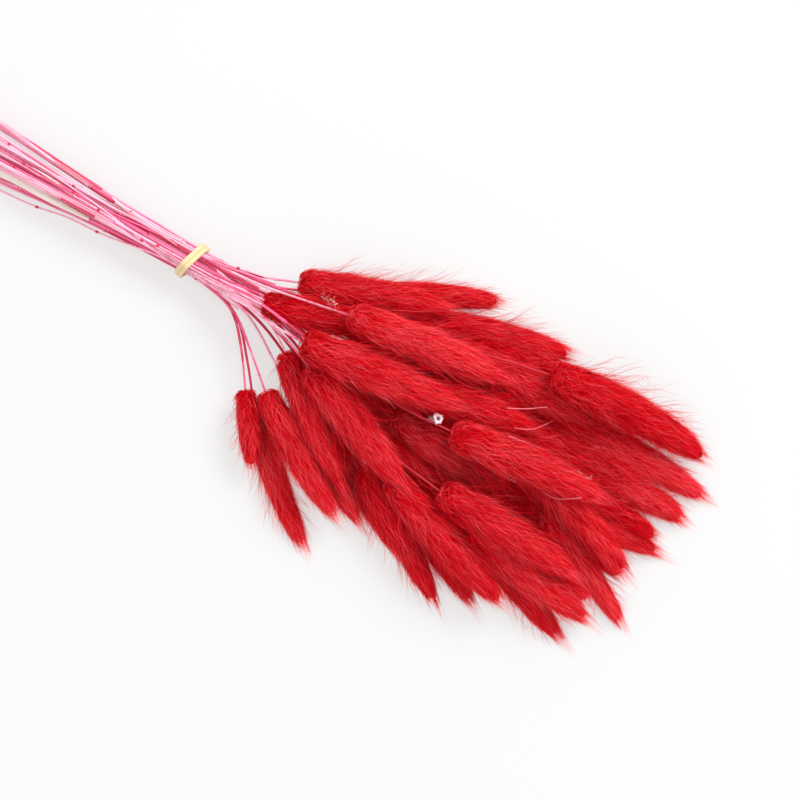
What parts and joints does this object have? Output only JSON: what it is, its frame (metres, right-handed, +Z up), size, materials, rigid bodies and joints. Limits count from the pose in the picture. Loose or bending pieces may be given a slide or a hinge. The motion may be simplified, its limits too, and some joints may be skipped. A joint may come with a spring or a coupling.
{
  "type": "dried bunny tail grass bunch",
  "caption": "Flat bunch of dyed dried bunny tail grass, fluffy red heads on thin pink stems tied with a rubber band.",
  "frame": {"origin": "middle of the bunch's footprint, on the surface it lies on", "axes": "+X along the stems towards the heads, +Y across the bunch, +Z up from the surface"},
  "size_m": [0.432, 0.1256, 0.041],
  "materials": {
    "head_fur": "soft dyed fur, matt",
    "stem": "dyed dry stem, satin",
    "band": "natural rubber, matt",
    "leaf": "dry leaf, matt"
  },
  "bodies": {
    "root": {"head_01": "head_fur", "head_02": "head_fur", "head_03": "head_fur", "head_04": "head_fur", "head_05": "head_fur", "head_06": "head_fur", "head_07": "head_fur", "head_08": "head_fur", "head_09": "head_fur", "head_10": "head_fur", "head_11": "head_fur", "head_12": "head_fur", "head_13": "head_fur", "head_14": "head_fur", "head_15": "head_fur", "head_16": "head_fur", "head_17": "head_fur", "head_18": "head_fur", "head_19": "head_fur", "head_20": "head_fur", "head_21": "head_fur", "head_22": "head_fur", "head_23": "head_fur", "head_24": "head_fur", "head_25": "head_fur", "head_26": "head_fur", "head_27": "head_fur", "head_28": "head_fur", "head_29": "head_fur", "stem_01": "stem", "stem_02": "stem", "stem_03": "stem", "stem_04": "stem", "stem_05": "stem", "stem_06": "stem", "stem_07": "stem", "stem_08": "stem", "stem_09": "stem", "stem_10": "stem", "stem_11": "stem", "stem_12": "stem", "stem_13": "stem", "stem_14": "stem", "stem_15": "stem", "stem_16": "stem", "stem_17": "stem", "stem_18": "stem", "stem_19": "stem", "stem_20": "stem", "stem_21": "stem", "stem_22": "stem", "stem_23": "stem", "stem_24": "stem", "stem_25": "stem", "stem_26": "stem", "stem_27": "stem", "stem_28": "stem", "stem_29": "stem", "rubber_band": "band", "leaf_blade": "leaf"}
  },
  "joints": []
}
